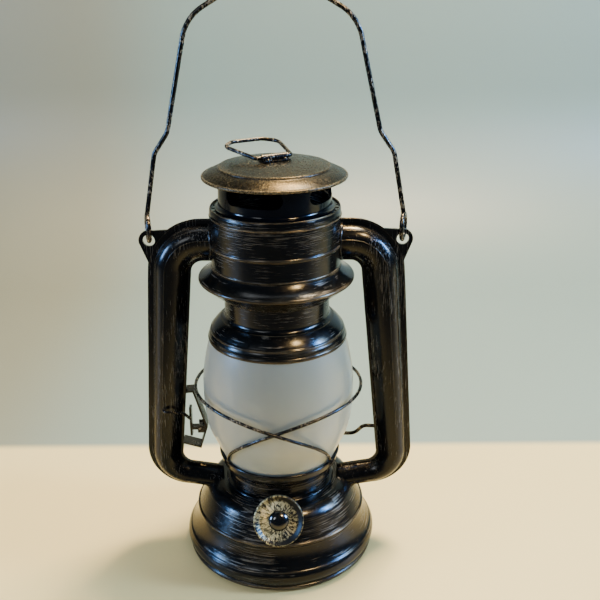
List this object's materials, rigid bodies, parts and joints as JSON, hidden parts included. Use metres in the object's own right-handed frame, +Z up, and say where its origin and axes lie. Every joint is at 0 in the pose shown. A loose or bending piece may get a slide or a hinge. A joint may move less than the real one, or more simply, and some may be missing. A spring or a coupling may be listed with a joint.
{
  "type": "hurricane lantern",
  "caption": "Hurricane lantern with a frosted globe, wire guard, side tubes, drum and vented cap, lift-up hood, front dimmer dial and swinging wire bail.",
  "frame": {"origin": "middle of the base on the surface that the rubber feet stand on", "axes": "+Z up along the globe's axis, -Y towards the dial, +X to the right seen from the dial's side"},
  "size_m": [0.208, 0.1508, 0.4338],
  "materials": {
    "rubbed_enamel": "black enamel dry-brushed with bronze, satin",
    "tube_enamel": "black enamel with worn bronze edges, satin",
    "cap_bronze": "olive bronze rubbed over black, satin",
    "gloss_enamel": "gloss black",
    "wire_black": "black wire rubbed bright",
    "frosted_glass": "frosted",
    "dial_gold": "radially brushed",
    "dial_black": "gloss",
    "plain_steel": "plain",
    "foot_rubber": "matt",
    "black_plastic": "moulded",
    "cell_jacket": "printed sleeve without lettering",
    "board_green": "lacquered board",
    "board_white": "white lacquer",
    "lamp_lens": "clear lens",
    "white_plastic": "moulded",
    "lead_vinyl": "vinyl"
  },
  "bodies": {
    "lantern": {"base_shell": "rubbed_enamel", "base_plate": "black_plastic", "mounting_ring": "black_plastic", "plate_screws": "plain_steel", "rubber_feet": "foot_rubber", "battery_door": "black_plastic", "battery_box": "black_plastic", "battery_cells": "cell_jacket", "contact_plates": "plain_steel", "circuit_board": "board_green", "dimmer_body": "plain_steel", "dimmer_nut": "plain_steel", "globe_cup": "rubbed_enamel", "globe": "frosted_glass", "led_board": "board_white", "led_lamps": "lamp_lens", "light_post": "white_plastic", "led_leads": "lead_vinyl", "guard_hoop_left": "wire_black", "guard_hoop_right": "wire_black", "tube_right_front": "tube_enamel", "tube_right_rear": "tube_enamel", "tube_left_front": "tube_enamel", "tube_left_rear": "tube_enamel", "air_drum": "rubbed_enamel", "air_skirt": "rubbed_enamel", "lever_bracket": "tube_enamel", "lever_pin": "wire_black", "catch_wire": "wire_black", "anchor_wire": "wire_black"},
    "hood": {"bell_neck": "rubbed_enamel", "vent_collar": "gloss_enamel", "cap": "cap_bronze", "ring_clip": "wire_black", "clip_rivets": "wire_black"},
    "ring": {"lift_ring": "wire_black"},
    "handle": {"bail": "wire_black"},
    "dial": {"dial_dish": "dial_gold", "dial_dome": "dial_black", "dimmer_shaft": "plain_steel"},
    "lever": {"lift_lever": "tube_enamel"}
  },
  "joints": [
    {"name": "hood_lift", "type": "slide", "parent": "lantern", "child": "hood", "axis": [0, 0, 1], "range_m": [0, 0.014]},
    {"name": "ring_flip", "type": "hinge", "parent": "hood", "child": "ring", "pos_m": [0, 0, 0.31453], "axis": [0.8829, 0.4695, 0], "range_deg": [-12, 176]},
    {"name": "bail_swing", "type": "hinge", "parent": "lantern", "child": "handle", "pos_m": [0, 0, 0.26385], "axis": [1, 0, 0], "range_deg": [-150, 150]},
    {"name": "dial_turn", "type": "hinge", "parent": "lantern", "child": "dial", "pos_m": [0, -0.06129, 0.05535], "axis": [0, -0.8829, 0.4695], "range_deg": [-270, 0]},
    {"name": "lever_press", "type": "hinge", "parent": "lantern", "child": "lever", "pos_m": [-0.0612, 0, 0.101], "axis": [0, 1, 0], "range_deg": [-8, 0]}
  ]
}
